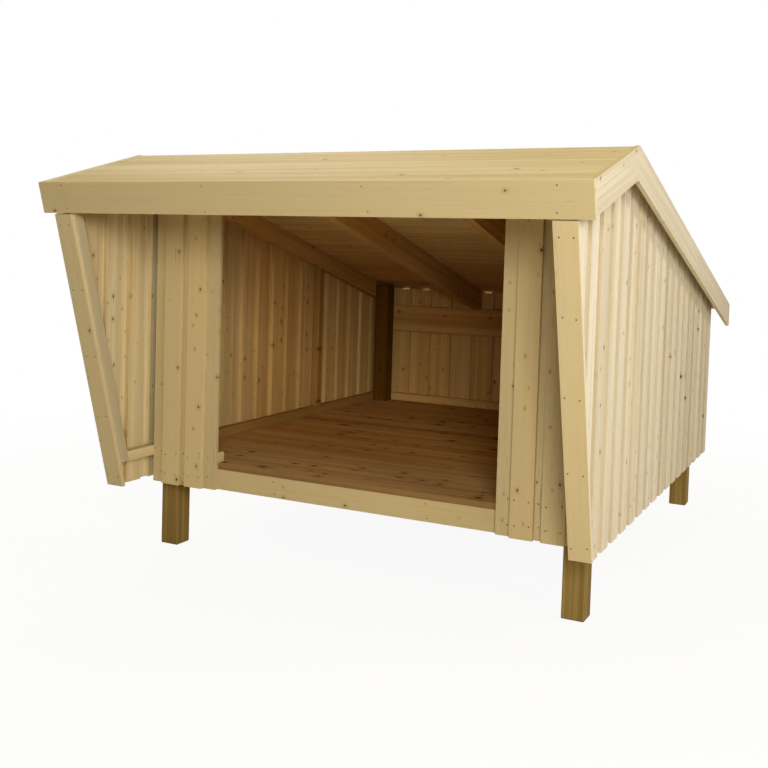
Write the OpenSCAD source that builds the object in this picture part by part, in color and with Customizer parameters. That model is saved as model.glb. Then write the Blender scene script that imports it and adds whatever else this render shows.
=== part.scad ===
// Open-fronted raised timber shelter.
// Four square posts carry a boarded floor, board-on-board walls on three sides,
// two narrow front panels and a gable roof with a short front and a long rear slope.
// Units are millimetres. +Z is up, the open front faces -Y and +X is to the right.
// The origin is on the ground, under the middle of the bounding box.

/* [Posts and frame] */
// Side of a square post
post_side = 95; // [80:1:110]
// Distance between the post centres, left to right
post_spacing_x = 2000; // [1800:10:2200]
// Distance between the post centres, front to back
post_spacing_y = 2185; // [1700:5:2500]
// Side of a framing timber
stud = 48; // [40:1:56]
// Distance of the middle studs behind the front posts' front faces
middle_stud_y = 1446; // [900:1:1700]

/* [Floor] */
// Height of the floor's top above the ground
floor_height = 438; // [350:1:520]
// Thickness of the floor boards
floor_t = 28; // [20:1:34]
// Width that one floor board covers, about
floor_board = 108; // [95:1:150]
// Height of the floor beams, of the joists and of the front header
beam_h = 94; // [75:1:110]
// Distance of the inner joists from the middle
joist_x = 377; // [250:1:500]

/* [Cladding] */
// Thickness of the wall boards and of the roof's edge boards
board_t = 20; // [15:1:26]
// Width of a wall board
board_w = 98; // [88:1:108]
// Distance from one wall board to the next in a layer, about
board_pitch = 150; // [130:1:165]
// Height of the side and back walls' lower edge above the ground
wall_low = 325; // [260:1:345]
// Width of the opening between the front panels
opening_w = 1374; // [1250:2:1440]
// Width of the raked trims at the side walls' front edges
trim_w = 89; // [75:1:100]
// How far a trim stands out past the side wall
trim_proud = 6; // [0:0.5:12]
// Slot between a trim's top and the fascia
trim_slot = 5; // [2:0.5:12]

/* [Roof] */
// Height of the ridge above the ground
ridge_height = 1865; // [1780:5:2000]
// Distance of the ridge in front of the front posts' front faces
ridge_forward = 37; // [10:1:44]
// Horizontal reach of the front slope from the ridge
front_reach = 626; // [580:1:720]
// Slope of the front roof, in degrees
front_pitch = 15.9; // [12:0.1:18]
// Slope of the rear roof, in degrees
rear_pitch = 14.8; // [12:0.1:16]
// Roof overhang behind the back wall
rear_overhang = 162; // [80:1:220]
// Roof overhang past a side wall
side_overhang = 64.5; // [45:0.5:120]
// Thickness of the roof boards
deck_t = 28; // [20:1:34]
// Width that one roof board covers, about
deck_board = 125; // [95:1:150]
// How far the edge boards stand up past the roof boards
edge_lip = 3; // [0:0.5:12]
// Depth of the fascia
fascia_depth = 133; // [110:1:150]
// Depth of the bargeboards
barge_depth = 127; // [105:1:145]
// Depth of the inner rafters
rafter_h = 133; // [110:1:140]
// Depth of the rafters along the side walls
side_rafter_h = 100; // [70:1:110]
// How far the front rafters show below the fascia
front_rafter_drop = 5; // [0:0.5:12]
// Height of the back wall's top rail
back_rail_h = 122; // [95:1:140]

/* [Hidden] */

spruce = "#DCCB9C";
framing = "#B08A55";
treated = "#8A7440";

// Narrow gap between neighbouring floor or roof boards, and round a post
joint = 2;
// Narrowest piece of a wall board that is still fitted
sliver = 15;

// Layers of the walls, outwards from the middle
post_in_x = post_spacing_x / 2 - post_side / 2;
post_out_x = post_spacing_x / 2 + post_side / 2;
side_frame_x = post_out_x + stud;
side_mid_x = side_frame_x + board_t;
side_out_x = side_mid_x + board_t;
roof_half = side_out_x + side_overhang;
deck_half = roof_half - board_t;

// Ridge and ends of the roof, centred on the origin
rear_reach = ridge_forward + post_spacing_y + post_side + stud + 2 * board_t + rear_overhang;
ridge_y = (front_reach - rear_reach) / 2;
front_tip_y = ridge_y - front_reach;
front_tip_z = ridge_height - front_reach * tan(front_pitch);
rear_tip_y = ridge_y + rear_reach;
front_length = front_reach / cos(front_pitch);
rear_length = rear_reach / cos(rear_pitch);

// Layers of the front and the back
front_post_y = ridge_y + ridge_forward;
front_frame_y = front_post_y - stud;
front_mid_y = front_frame_y - board_t;
front_out_y = front_mid_y - board_t;
back_post_y = front_post_y + post_spacing_y;
back_post_end_y = back_post_y + post_side;
back_frame_y = back_post_end_y + stud;
back_mid_y = back_frame_y + board_t;
back_out_y = back_mid_y + board_t;

// Depths below the roof's edge line, square to the slope
deck_under = edge_lip + deck_t;
rafter_under = deck_under + rafter_h;
side_rafter_under = deck_under + side_rafter_h;
front_rafter_under = fascia_depth + front_rafter_drop;

// Levels
beam_top = floor_height - floor_t;
beam_low = beam_top - beam_h;
rail_top = floor_height + stud;
header_seat_y = front_post_y - stud / 2;
header_top = rear_z(header_seat_y, rafter_under);
header_low = header_top - beam_h;
back_rail_top = rear_z(back_post_end_y, rafter_under);
back_rail_low = back_rail_top - back_rail_h;
back_boards_top = rear_z(back_out_y, deck_under);
back_slit = 6;

// Spacing of the rafters, the floor boards and the roof boards
rafter_x = (post_out_x + stud / 2) / 3;
outer_joist_x = post_in_x - stud / 2;
floor_count = round((back_frame_y - front_frame_y) / floor_board);
floor_step = (back_frame_y - front_frame_y) / floor_count;
front_deck_count = round((front_length - board_t) / deck_board);
front_deck_step = (front_length - board_t) / front_deck_count;
rear_deck_count = round(rear_length / deck_board);
rear_deck_step = rear_length / rear_deck_count;
// The ridge stands over a lap of the side wall's two layers, so that both reach it
ridge_lap = 1 / 4;
side_run = back_frame_y - ridge_y - board_w / 2;
side_count = round(side_run / board_pitch - ridge_lap);
side_step = side_run / (side_count + ridge_lap);
back_board_count = ceil(side_mid_x / board_pitch);
panel_w = post_out_x - opening_w / 2;
panel_gap = (panel_w - 3 * board_w) / 2;
panel_step = board_w + panel_gap;

// Height of a line at depth s below the front or the rear roof's edge line
function front_z(y, s) = ridge_height - (ridge_y - y) * tan(front_pitch) - s / cos(front_pitch);
function rear_z(y, s) = ridge_height - (y - ridge_y) * tan(rear_pitch) - s / cos(rear_pitch);

// Point in the side view: d up the front slope from the fascia's face, s below its edge line
function front_point(d, s) = [
  front_tip_y + d * cos(front_pitch) + s * sin(front_pitch),
  front_tip_z + d * sin(front_pitch) - s * cos(front_pitch)
];

// Point in the side view: d down the rear slope from the ridge, s below its edge line
function rear_point(d, s) = [
  ridge_y + d * cos(rear_pitch) - s * sin(rear_pitch),
  ridge_height - d * sin(rear_pitch) - s * cos(rear_pitch)
];

// Position at height z of the raked plane that lies d behind the fascia's face
function rake_y(z, d) = front_tip_y + (front_tip_z - z) * tan(front_pitch) + d / cos(front_pitch);

// Outline of a side wall in the side view: raked front edge, gabled top
wall_outline = [
  [rake_y(wall_low, board_t), wall_low],
  [back_frame_y, wall_low],
  [back_frame_y, rear_z(back_frame_y, deck_under)],
  [ridge_y, rear_z(ridge_y, deck_under)],
  [ridge_y, front_z(ridge_y, deck_under)],
  front_point(board_t, deck_under)
];

// Stretches a side-view outline from x0 to x1
module along_x(x0, x1, outline) {
  translate([x0, 0, 0])
    rotate([90, 0, 90])
      linear_extrude(height = x1 - x0)
        polygon(outline);
}

// Box between two corners
module box(low, high) {
  translate(low)
    cube(high - low);
}

// Right-hand piece moved to the left side
module on_left() {
  mirror([1, 0, 0])
    children();
}

module post(x, y, top) {
  color(treated)
    box([x - post_side / 2, y, 0], [x + post_side / 2, y + post_side, top]);
}

module post_front_right() {
  post(post_spacing_x / 2, front_post_y, rear_z(front_post_y + post_side, deck_under));
}

module post_front_left() {
  on_left()
    post_front_right();
}

module post_back_right() {
  post(post_spacing_x / 2, back_post_y, rear_z(back_post_end_y, deck_under));
}

module post_back_left() {
  on_left()
    post_back_right();
}

// Timber from side to side across the front or the back
module cross_timber(y, low, top) {
  color(framing)
    box([-post_out_x, y, low], [post_out_x, y + stud, top]);
}

module front_floor_beam() {
  cross_timber(front_frame_y, beam_low, beam_top);
}

module back_floor_beam() {
  cross_timber(back_post_end_y, beam_low, beam_top);
}

module front_header() {
  cross_timber(front_frame_y, header_low, header_top);
}

module back_top_rail() {
  cross_timber(back_post_end_y, back_rail_low, back_rail_top);
}

module back_strip() {
  cross_timber(back_post_end_y, back_rail_low - stud, back_rail_low);
}

module back_bottom_rail() {
  cross_timber(back_post_end_y, floor_height, rail_top);
}

module floor_joists() {
  color(framing)
    for (x = [-outer_joist_x, -joist_x, joist_x, outer_joist_x])
      box(
        [x - stud / 2, front_post_y, beam_low],
        [x + stud / 2, back_post_end_y, beam_top]
      );
}

// Room for a post in the floor's edge
module post_notch(x, y) {
  box(
    [x - post_side / 2 - joint, y - joint, 0],
    [x + post_side / 2 + joint, y + post_side + joint, ridge_height]
  );
}

module floor_boards() {
  color(framing)
    difference() {
      for (k = [0 : floor_count - 1])
        box(
          [-post_out_x, front_frame_y + k * floor_step, beam_top],
          [post_out_x, front_frame_y + (k + 1) * floor_step - joint, floor_height]
        );
      for (x = [-post_spacing_x / 2, post_spacing_x / 2])
        for (y = [front_post_y, back_post_y])
          post_notch(x, y);
    }
}

module right_bottom_rail() {
  color(framing)
    along_x(post_out_x, side_frame_x, [
      [rake_y(floor_height, board_t + stud), floor_height],
      [back_frame_y, floor_height],
      [back_frame_y, rail_top],
      [rake_y(rail_top, board_t + stud), rail_top]
    ]);
}

module left_bottom_rail() {
  on_left()
    right_bottom_rail();
}

// Rail on the floor behind a front panel, from the opening to the side wall
module right_panel_rail() {
  color(framing)
    box([opening_w / 2, front_frame_y, floor_height], [post_out_x, front_post_y, rail_top]);
}

module left_panel_rail() {
  on_left()
    right_panel_rail();
}

module right_raked_stud() {
  color(framing)
    along_x(post_out_x, side_frame_x, [
      [rake_y(floor_height, board_t), floor_height],
      [rake_y(floor_height, board_t + stud), floor_height],
      front_point(board_t + stud, front_rafter_under),
      front_point(board_t, front_rafter_under)
    ]);
}

module left_raked_stud() {
  on_left()
    right_raked_stud();
}

module right_middle_stud() {
  y0 = front_post_y + middle_stud_y;
  y1 = y0 + stud;
  color(framing)
    along_x(post_out_x, side_frame_x, [
      [y0, rail_top],
      [y1, rail_top],
      [y1, rear_z(y1, side_rafter_under)],
      [y0, rear_z(y0, side_rafter_under)]
    ]);
}

module left_middle_stud() {
  on_left()
    right_middle_stud();
}

// Short rafter from the fascia's back up to the ridge
module front_rafter(x) {
  color(framing)
    along_x(x - stud / 2, x + stud / 2, [
      front_point(board_t, deck_under),
      front_point(board_t, front_rafter_under),
      [ridge_y, front_z(ridge_y, front_rafter_under)],
      [ridge_y, front_z(ridge_y, deck_under)]
    ]);
}

// Long inner rafter, notched over the header and seated on the back rail
module rear_rafter(x) {
  color(framing)
    along_x(x - stud / 2, x + stud / 2, [
      [ridge_y, rear_z(ridge_y, deck_under)],
      [ridge_y, rear_z(ridge_y, rafter_under)],
      [header_seat_y, header_top],
      [front_post_y, header_top],
      [front_post_y, rear_z(front_post_y, rafter_under)],
      [back_post_end_y, back_rail_top],
      [back_frame_y, back_rail_top],
      [back_frame_y, rear_z(back_frame_y, deck_under)]
    ]);
}

module front_rafters() {
  for (x = [-rafter_x, rafter_x])
    front_rafter(x);
}

module rear_rafters() {
  for (x = [-rafter_x, rafter_x])
    rear_rafter(x);
}

module right_side_rafter_front() {
  front_rafter(post_out_x + stud / 2);
}

module left_side_rafter_front() {
  on_left()
    right_side_rafter_front();
}

module right_side_rafter_rear() {
  color(framing)
    along_x(post_out_x, side_frame_x, [
      [ridge_y, rear_z(ridge_y, deck_under)],
      [ridge_y, rear_z(ridge_y, side_rafter_under)],
      [back_frame_y, rear_z(back_frame_y, side_rafter_under)],
      [back_frame_y, rear_z(back_frame_y, deck_under)]
    ]);
}

module left_side_rafter_rear() {
  on_left()
    right_side_rafter_rear();
}

// One layer of upright side-wall boards, set out from its rearmost edge and cut to the wall's outline
module side_boards(x, rear_edge) {
  front_limit = front_point(board_t, deck_under)[0] + sliver;
  color(spruce)
    intersection() {
      for (y = [rear_edge : -side_step : front_limit])
        box([x, y - board_w, wall_low], [x + board_t, y, ridge_height]);
      along_x(x, x + board_t, wall_outline);
    }
}

module right_wall_inner_boards() {
  side_boards(side_frame_x, back_frame_y);
}

module left_wall_inner_boards() {
  on_left()
    right_wall_inner_boards();
}

module right_wall_outer_boards() {
  side_boards(side_mid_x, back_frame_y - side_step / 2);
}

module left_wall_outer_boards() {
  on_left()
    right_wall_outer_boards();
}

// One layer of upright back-wall boards, set out from the middle
module back_boards(y, shift, top) {
  color(spruce)
    intersection() {
      for (k = [-back_board_count : back_board_count])
        box(
          [k * board_pitch + shift - board_w / 2, y, wall_low],
          [k * board_pitch + shift + board_w / 2, y + board_t, top]
        );
      box([-side_mid_x, y, wall_low], [side_mid_x, y + board_t, top]);
    }
}

module back_wall_inner_boards() {
  back_boards(back_frame_y, 0, back_boards_top - back_slit);
}

module back_wall_outer_boards() {
  back_boards(back_mid_y, board_pitch / 2, back_boards_top);
}

// Upright boards of a front panel, from its edge at the opening
module panel_boards(y, first, count) {
  color(spruce)
    for (k = [0 : count - 1])
      box(
        [first + k * panel_step, y, beam_low],
        [first + k * panel_step + board_w, y + board_t, header_top]
      );
}

module right_panel_inner_boards() {
  panel_boards(front_mid_y, opening_w / 2, 3);
}

module left_panel_inner_boards() {
  on_left()
    right_panel_inner_boards();
}

module right_panel_outer_boards() {
  panel_boards(front_out_y, opening_w / 2 + panel_step / 2, 2);
}

module left_panel_outer_boards() {
  on_left()
    right_panel_outer_boards();
}

// Roof boards run from side to side between the bargeboards
module front_roof_boards() {
  color(spruce)
    for (k = [0 : front_deck_count - 1]) {
      d0 = board_t + k * front_deck_step;
      d1 = d0 + front_deck_step - joint;
      top_board = k == front_deck_count - 1;
      along_x(-deck_half, deck_half, [
        front_point(d0, edge_lip),
        front_point(d0, deck_under),
        top_board ? [ridge_y, front_z(ridge_y, deck_under)] : front_point(d1, deck_under),
        top_board ? [ridge_y, front_z(ridge_y, edge_lip)] : front_point(d1, edge_lip)
      ]);
    }
}

module rear_roof_boards() {
  color(spruce)
    for (k = [0 : rear_deck_count - 1]) {
      d0 = k * rear_deck_step;
      d1 = d0 + rear_deck_step - joint;
      top_board = k == 0;
      eave_board = k == rear_deck_count - 1;
      along_x(-deck_half, deck_half, [
        top_board ? [ridge_y, rear_z(ridge_y, edge_lip)] : rear_point(d0, edge_lip),
        top_board ? [ridge_y, rear_z(ridge_y, deck_under)] : rear_point(d0, deck_under),
        eave_board ? [rear_tip_y, rear_z(rear_tip_y, deck_under)] : rear_point(d1, deck_under),
        eave_board ? [rear_tip_y, rear_z(rear_tip_y, edge_lip)] : rear_point(d1, edge_lip)
      ]);
    }
}

module fascia() {
  color(spruce)
    along_x(-roof_half, roof_half, [
      front_point(0, 0),
      front_point(0, fascia_depth),
      front_point(board_t, fascia_depth),
      front_point(board_t, 0)
    ]);
}

module right_front_bargeboard() {
  color(spruce)
    along_x(deck_half, roof_half, [
      front_point(board_t, 0),
      front_point(board_t, barge_depth),
      [ridge_y, front_z(ridge_y, barge_depth)],
      [ridge_y, ridge_height]
    ]);
}

module left_front_bargeboard() {
  on_left()
    right_front_bargeboard();
}

module right_rear_bargeboard() {
  color(spruce)
    along_x(deck_half, roof_half, [
      [ridge_y, ridge_height],
      [ridge_y, rear_z(ridge_y, barge_depth)],
      [rear_tip_y, rear_z(rear_tip_y, barge_depth)],
      [rear_tip_y, rear_z(rear_tip_y, 0)]
    ]);
}

module left_rear_bargeboard() {
  on_left()
    right_rear_bargeboard();
}

// Raked board on the front edge of a side wall, in line with the fascia's face
module right_front_trim() {
  outer_x = side_out_x + trim_proud;
  color(spruce)
    along_x(outer_x - trim_w, outer_x, [
      [rake_y(wall_low, 0), wall_low],
      [rake_y(wall_low, board_t), wall_low],
      front_point(board_t, fascia_depth + trim_slot),
      front_point(0, fascia_depth + trim_slot)
    ]);
}

module left_front_trim() {
  on_left()
    right_front_trim();
}

post_front_left();
post_front_right();
post_back_left();
post_back_right();
front_floor_beam();
back_floor_beam();
floor_joists();
floor_boards();
front_header();
left_bottom_rail();
right_bottom_rail();
left_panel_rail();
right_panel_rail();
left_raked_stud();
right_raked_stud();
left_middle_stud();
right_middle_stud();
front_rafters();
rear_rafters();
left_side_rafter_front();
right_side_rafter_front();
left_side_rafter_rear();
right_side_rafter_rear();
back_top_rail();
back_strip();
back_bottom_rail();
left_wall_inner_boards();
left_wall_outer_boards();
right_wall_inner_boards();
right_wall_outer_boards();
back_wall_inner_boards();
back_wall_outer_boards();
left_panel_inner_boards();
left_panel_outer_boards();
right_panel_inner_boards();
right_panel_outer_boards();
front_roof_boards();
rear_roof_boards();
fascia();
left_front_bargeboard();
right_front_bargeboard();
left_rear_bargeboard();
right_rear_bargeboard();
left_front_trim();
right_front_trim();
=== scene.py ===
"""Looks of a raised, open-fronted timber shelter.

Every timber is a copy of its solid in the frame, with eased edges and a grain that runs along it,
so sizes and places come from the frame. Nails and screws sit where a carpenter would drive them.
"""

import math
import random

import bmesh
import bpy
from bpy.props import FloatProperty, FloatVectorProperty, IntProperty, PointerProperty
from mathutils import Euler, Matrix, Vector


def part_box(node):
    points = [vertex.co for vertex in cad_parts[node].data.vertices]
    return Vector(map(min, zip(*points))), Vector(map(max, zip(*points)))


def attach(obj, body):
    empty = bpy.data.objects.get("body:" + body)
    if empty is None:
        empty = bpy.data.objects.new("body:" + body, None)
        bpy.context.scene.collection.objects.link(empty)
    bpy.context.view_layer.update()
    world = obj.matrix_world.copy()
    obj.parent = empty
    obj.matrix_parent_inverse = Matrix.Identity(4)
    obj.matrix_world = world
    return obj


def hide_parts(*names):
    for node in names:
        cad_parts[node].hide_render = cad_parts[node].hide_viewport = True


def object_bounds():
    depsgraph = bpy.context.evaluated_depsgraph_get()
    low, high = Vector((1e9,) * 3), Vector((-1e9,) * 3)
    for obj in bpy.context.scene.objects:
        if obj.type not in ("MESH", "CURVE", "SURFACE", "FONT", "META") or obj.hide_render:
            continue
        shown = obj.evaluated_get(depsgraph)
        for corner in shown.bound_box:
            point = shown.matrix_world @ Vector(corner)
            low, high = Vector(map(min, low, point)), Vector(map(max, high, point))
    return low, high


bl_info = {
    "name": "Open-fronted timber shelter",
    "version": (1, 0, 0),
    "blender": (4, 5, 0),
    "location": "View3D > Sidebar > Shelter",
    "description": "Dresses a raised timber shelter in spruce boards, treated posts and fixings",
    "category": "Object",
}

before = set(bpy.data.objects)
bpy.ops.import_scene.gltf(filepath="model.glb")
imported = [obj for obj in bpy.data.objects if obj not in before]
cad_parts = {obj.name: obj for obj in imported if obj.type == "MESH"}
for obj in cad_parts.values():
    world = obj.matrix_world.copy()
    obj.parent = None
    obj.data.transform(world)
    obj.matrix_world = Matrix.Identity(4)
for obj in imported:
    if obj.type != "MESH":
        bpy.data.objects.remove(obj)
CAD_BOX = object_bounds()

BODY = "root"
MERGE = 1e-5
FLAT_ANGLE = math.radians(1.0)

LEFT_RIGHT = ("left", "right")
POSTS = ("post_front_left", "post_front_right", "post_back_left", "post_back_right")
ROOF_TIMBERS = (
    "front_header",
    "front_rafters",
    "rear_rafters",
    "left_side_rafter_front",
    "right_side_rafter_front",
    "left_side_rafter_rear",
    "right_side_rafter_rear",
)
ROOF_BOARDS = ("front_roof_boards", "rear_roof_boards")

FRONT = Vector((0.0, -1.0, 0.0))
BACK = Vector((0.0, 1.0, 0.0))
LEFT = Vector((-1.0, 0.0, 0.0))
RIGHT = Vector((1.0, 0.0, 0.0))
UP = Vector((0.0, 0.0, 1.0))
DOWN = Vector((0.0, 0.0, -1.0))
OUTWARD = {"left": LEFT, "right": RIGHT, "back": BACK}

# The front of the panels beside the opening, and the top of the floor
OPEN_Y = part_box("left_panel_outer_boards")[0].y
FLOOR_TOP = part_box("floor_boards")[1].z

# Painted shade: where the wood's colour darkens, as the axis and the places where that starts and ends
INSIDE_SHADE = ("Y", OPEN_Y, OPEN_Y + 1.2)
RAIL_SHADE = ("Y", OPEN_Y, OPEN_Y + 0.3)
ROOF_SHADE = ("Y", OPEN_Y + 1.12, OPEN_Y + 2.12)
POST_SHADE = ("Z", FLOOR_TOP - 0.15, FLOOR_TOP + 0.05)

# A board's edge that lies further out than these shows at a back corner
SLACK = 0.001
CORNER_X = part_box("right_wall_inner_boards")[0].x - SLACK
CORNER_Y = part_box("back_wall_inner_boards")[0].y - SLACK

# Cosines between a face's normal and a direction: over LOOKS the face looks that way, over SIDEWAYS
# it is the side that lies that way, and under ALONG_GRAIN it runs along the grain
LOOKS = 0.6
SIDEWAYS = 0.5
ALONG_GRAIN = 0.1

# Year rings and the places of knots, in metres, and knots' girths as shares of their spacing
RING_WIDTH = 0.0055
RING_WANDER = 0.030
KNOT_SPACING = 1.0 / 13.0
SMALLEST_KNOT = 0.046
KNOT_SPREAD = 0.060

# What each timber draws from: its place in a log, its tone and its share of knots
LOG_PLACES = ((0.0, 90.0), (-0.07, 0.07), (0.03, 0.12))
TONE_RANGE = (0.94, 1.05)
KNOT_RANGE = (0.4, 1.6)

# Depth of the wood's relief, in metres, and its weak gloss
RELIEF_DEPTH = 0.0015
GLOSS = 0.02

# Heads of nails and screws: height, top and rim as shares of the radius, lift as one of the height
HEAD_HEIGHT = 0.36
HEAD_TOP = 0.8
HEAD_RIM = 0.3
HEAD_LIFT = 0.3

# Where nails and screws go
TOP_NAIL = 0.075
END_MARGIN = 0.05
BARGEBOARD_STEP = 0.5
TRIM_STEP = 0.3
BEAM_SCREW_REACH = 0.6

# Width of the camera's sensor, in millimetres
SENSOR_WIDTH = 36.0

# Place and width of each lamp
LAMPS = {
    "front_light": ((3.2, -6.2, 2.6), 1.8),
    "side_light": ((6.3, -4.0, 2.7), 1.6),
    "wall_light": ((4.8, 0.5, 4.8), 1.2),
    "top_light": ((-1.5, -2.0, 6.5), 4.0),
    "back_light": ((-5.0, 6.0, 4.0), 4.0),
}

# The pale floor: its colour, how white the camera sees it near by, and where it is white
PALE_FLOOR = (0.80, 0.70, 0.52, 1.0)
NEAR_WHITE = 0.93
WHITE_FROM = 1.5
WHITE_AT = 5.0


class ShelterSizes(bpy.types.PropertyGroup):
    """Small sizes that the frame leaves out"""

    board_round: FloatProperty(
        name="Board edge rounding",
        description="Radius on the planed edges of boards",
        default=0.0014,
        unit="LENGTH",
    )
    floor_round: FloatProperty(
        name="Floor board edge rounding",
        description="Radius on the edges of the floor boards",
        default=0.0009,
        unit="LENGTH",
    )
    timber_round: FloatProperty(
        name="Timber edge rounding",
        description="Radius on the edges of framing timbers",
        default=0.003,
        unit="LENGTH",
    )
    post_round: FloatProperty(
        name="Post edge rounding",
        description="Radius on the edges of the square posts",
        default=0.005,
        unit="LENGTH",
    )
    round_steps: IntProperty(
        name="Rounding steps",
        description="Flat steps in each rounded edge",
        default=2,
    )
    nail_radius: FloatProperty(
        name="Nail head radius",
        description="Radius of a nail's head",
        default=0.0024,
        unit="LENGTH",
    )
    screw_radius: FloatProperty(
        name="Screw head radius",
        description="Radius of a screw's head",
        default=0.0032,
        unit="LENGTH",
    )
    edge_distance: FloatProperty(
        name="Fixing to edge",
        description="Distance of a nail or screw from the board's edge",
        default=0.018,
        unit="LENGTH",
    )
    fixing_stray: FloatProperty(
        name="Fixing stray",
        description="How far a nail or screw strays from its line",
        default=0.010,
        unit="LENGTH",
    )


class ShelterColours(bpy.types.PropertyGroup):
    """Colours of the timbers and the fixings, as scene-linear values"""

    # Painted highlight: the walls' outside is a paler, greyer copy of the spruce, for the light on the
    # sides
    wall_pale: FloatVectorProperty(
        name="Walls, pale",
        description="Sapwood of the walls' outside",
        default=(0.69, 0.615, 0.455),
        subtype="COLOR",
        min=0.0,
        max=1.0,
    )
    wall_warm: FloatVectorProperty(
        name="Walls, warm",
        description="Summer wood of the walls' outside",
        default=(0.605, 0.5, 0.325),
        subtype="COLOR",
        min=0.0,
        max=1.0,
    )
    # A copy between the walls' outside and the front, painted for the light on the outer boards' edges
    wall_edge_pale: FloatVectorProperty(
        name="Walls' board edges, pale",
        description="Sapwood of the outer boards' edges",
        default=(0.58, 0.49, 0.325),
        subtype="COLOR",
        min=0.0,
        max=1.0,
    )
    wall_edge_warm: FloatVectorProperty(
        name="Walls' board edges, warm",
        description="Summer wood of the outer boards' edges",
        default=(0.51, 0.405, 0.25),
        subtype="COLOR",
        min=0.0,
        max=1.0,
    )
    # Painted shade: the front is a darker, yellower copy of the spruce
    front_pale: FloatVectorProperty(
        name="Front, pale",
        description="Sapwood of the front boards",
        default=(0.435, 0.36, 0.205),
        subtype="COLOR",
        min=0.0,
        max=1.0,
    )
    front_warm: FloatVectorProperty(
        name="Front, warm",
        description="Summer wood of the front boards",
        default=(0.63, 0.465, 0.21),
        subtype="COLOR",
        min=0.0,
        max=1.0,
    )
    # A lit copy of the spruce for the tops, painted for the light from above
    roof_pale: FloatVectorProperty(
        name="Roof, pale",
        description="Sapwood of the roof boards' top",
        default=(0.66, 0.51, 0.245),
        subtype="COLOR",
        min=0.0,
        max=1.0,
    )
    roof_warm: FloatVectorProperty(
        name="Roof, warm",
        description="Summer wood of the roof boards' top",
        default=(0.56, 0.405, 0.165),
        subtype="COLOR",
        min=0.0,
        max=1.0,
    )
    # A warmer copy of the spruce for inner faces near the front, where the painted shade inside starts
    inside_pale: FloatVectorProperty(
        name="Inside, pale",
        description="Sapwood of inner faces near the front",
        default=(0.66, 0.55, 0.32),
        subtype="COLOR",
        min=0.0,
        max=1.0,
    )
    inside_warm: FloatVectorProperty(
        name="Inside, warm",
        description="Summer wood of inner faces near the front",
        default=(0.555, 0.42, 0.2),
        subtype="COLOR",
        min=0.0,
        max=1.0,
    )
    # Painted shade: the colour that the inside turns to further in
    deep_pale: FloatVectorProperty(
        name="Deep inside, pale",
        description="Sapwood of faces deep inside",
        default=(0.73, 0.455, 0.16),
        subtype="COLOR",
        min=0.0,
        max=1.0,
    )
    deep_warm: FloatVectorProperty(
        name="Deep inside, warm",
        description="Summer wood of faces deep inside",
        default=(0.59, 0.325, 0.085),
        subtype="COLOR",
        min=0.0,
        max=1.0,
    )
    # Painted shade: a warm copy of the spruce for the roof's underside, which turns darker further back
    ceiling_pale: FloatVectorProperty(
        name="Ceiling, pale",
        description="Sapwood of the roof boards' underside near the ridge",
        default=(0.82, 0.60, 0.265),
        subtype="COLOR",
        min=0.0,
        max=1.0,
    )
    ceiling_warm: FloatVectorProperty(
        name="Ceiling, warm",
        description="Summer wood of the roof boards' underside near the ridge",
        default=(0.67, 0.435, 0.145),
        subtype="COLOR",
        min=0.0,
        max=1.0,
    )
    # Painted shade: what the rails and studs turn to behind the panels
    rail_pale: FloatVectorProperty(
        name="Rails, pale",
        description="Sapwood of the side walls' rails and studs behind the panels",
        default=(0.40, 0.215, 0.055),
        subtype="COLOR",
        min=0.0,
        max=1.0,
    )
    rail_warm: FloatVectorProperty(
        name="Rails, warm",
        description="Summer wood of the side walls' rails and studs behind the panels",
        default=(0.35, 0.185, 0.045),
        subtype="COLOR",
        min=0.0,
        max=1.0,
    )
    # A copy of the spruce tuned to the light on the inner boards' edges
    edge_pale: FloatVectorProperty(
        name="Board edges, pale",
        description="Sapwood of the board edges inside",
        default=(0.66, 0.51, 0.26),
        subtype="COLOR",
        min=0.0,
        max=1.0,
    )
    edge_warm: FloatVectorProperty(
        name="Board edges, warm",
        description="Summer wood of the board edges inside",
        default=(0.56, 0.40, 0.17),
        subtype="COLOR",
        min=0.0,
        max=1.0,
    )
    # Painted shade: the edges' colour further in
    edge_deep_pale: FloatVectorProperty(
        name="Board edges deep inside, pale",
        description="Sapwood of the board edges deep inside",
        default=(0.67, 0.45, 0.165),
        subtype="COLOR",
        min=0.0,
        max=1.0,
    )
    edge_deep_warm: FloatVectorProperty(
        name="Board edges deep inside, warm",
        description="Summer wood of the board edges deep inside",
        default=(0.56, 0.34, 0.10),
        subtype="COLOR",
        min=0.0,
        max=1.0,
    )
    floor_pale: FloatVectorProperty(
        name="Floor, pale",
        description="Sapwood of the floor boards",
        default=(0.65, 0.415, 0.165),
        subtype="COLOR",
        min=0.0,
        max=1.0,
    )
    floor_warm: FloatVectorProperty(
        name="Floor, warm",
        description="Summer wood of the floor boards",
        default=(0.48, 0.265, 0.09),
        subtype="COLOR",
        min=0.0,
        max=1.0,
    )
    # Painted shade: the colour that the floor turns to further in
    floor_deep_pale: FloatVectorProperty(
        name="Floor deep inside, pale",
        description="Sapwood of the floor boards deep inside",
        default=(0.58, 0.315, 0.085),
        subtype="COLOR",
        min=0.0,
        max=1.0,
    )
    floor_deep_warm: FloatVectorProperty(
        name="Floor deep inside, warm",
        description="Summer wood of the floor boards deep inside",
        default=(0.42, 0.185, 0.034),
        subtype="COLOR",
        min=0.0,
        max=1.0,
    )
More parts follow.
